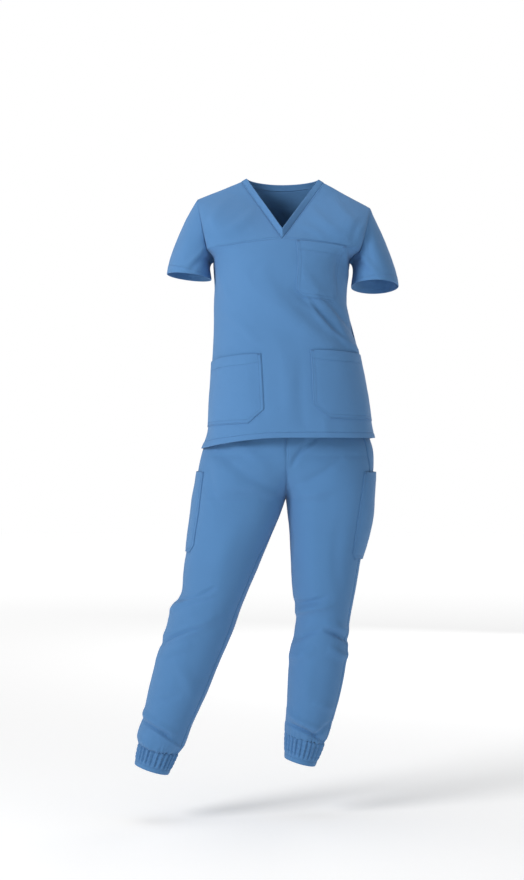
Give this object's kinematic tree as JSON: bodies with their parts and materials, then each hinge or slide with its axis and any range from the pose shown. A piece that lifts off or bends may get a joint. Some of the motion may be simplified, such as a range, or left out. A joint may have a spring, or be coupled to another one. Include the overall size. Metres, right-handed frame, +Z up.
{
  "type": "medical scrubs",
  "caption": "Ceil-blue medical scrubs as worn: a V-neck tunic with short sleeves and patch pockets over jogger trousers with cargo pockets and shirred ankle cuffs.",
  "frame": {"origin": "midway between the two shoulder seams, inside the tunic, where the wearer's shoulders hold it up", "axes": "+Z up, -Y towards the front of the garments, +X towards the wearer's left"},
  "size_m": [0.5911, 0.272, 1.3369],
  "materials": {
    "tunic_cloth": "matte twill-weave poly-viscose with a little stretch",
    "trouser_cloth": "matte twill-weave poly-viscose with a little stretch"
  },
  "bodies": {
    "root": {"front": "tunic_cloth", "back": "tunic_cloth", "yoke_right": "tunic_cloth", "yoke_left": "tunic_cloth", "neckband": "tunic_cloth", "sleeve_right": "tunic_cloth", "sleeve_left": "tunic_cloth", "pocket_chest": "tunic_cloth", "pocket_right": "tunic_cloth", "pocket_left": "tunic_cloth", "trouser_front_right": "trouser_cloth", "trouser_back_right": "trouser_cloth", "trouser_front_left": "trouser_cloth", "trouser_back_left": "trouser_cloth", "waistband": "trouser_cloth", "cuff_right": "trouser_cloth", "cuff_left": "trouser_cloth", "cargo_pocket_right": "trouser_cloth", "cargo_pocket_left": "trouser_cloth"}
  },
  "joints": []
}
